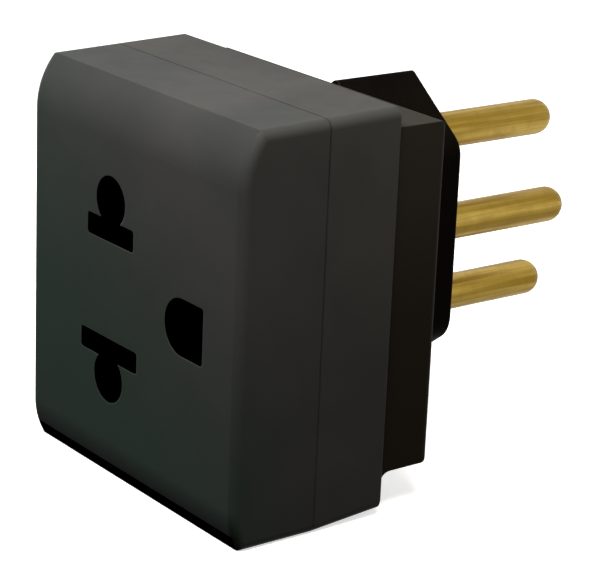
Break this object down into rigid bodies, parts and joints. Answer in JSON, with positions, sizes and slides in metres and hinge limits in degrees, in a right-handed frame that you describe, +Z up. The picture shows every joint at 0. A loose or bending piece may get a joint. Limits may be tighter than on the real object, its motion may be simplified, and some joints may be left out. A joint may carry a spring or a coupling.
{
  "type": "plug adapter",
  "caption": "Travel plug adapter with round, flat-blade and earth openings in a dark moulded housing and round pins on a hexagonal plug.",
  "frame": {"origin": "centre of the plug's rear face, where it meets the wall outlet", "axes": "+Y along the pins into the outlet, +Z up, +X to the right of someone who faces the socket holes"},
  "size_m": [0.0384, 0.0557, 0.043],
  "materials": {
    "housing_plastic": "satin",
    "plug_plastic": "satin",
    "pin_brass": "polished",
    "contact_brass": "satin",
    "spring_steel": "satin",
    "screw_steel": "satin"
  },
  "bodies": {
    "root": {"front_shell": "housing_plastic", "rear_shell": "housing_plastic", "plug_base": "plug_plastic", "pin_line": "pin_brass", "pin_neutral": "pin_brass", "pin_earth": "pin_brass", "jaw_line": "contact_brass", "jaw_neutral": "contact_brass", "jaw_earth": "contact_brass", "spring_line": "spring_steel", "spring_neutral": "spring_steel", "spring_earth": "spring_steel", "strap_line": "contact_brass", "strap_neutral": "contact_brass", "strap_earth": "contact_brass", "rivet_line": "contact_brass", "rivet_neutral": "contact_brass", "rivet_earth": "contact_brass", "screw_upper": "screw_steel", "screw_lower": "screw_steel"}
  },
  "joints": []
}
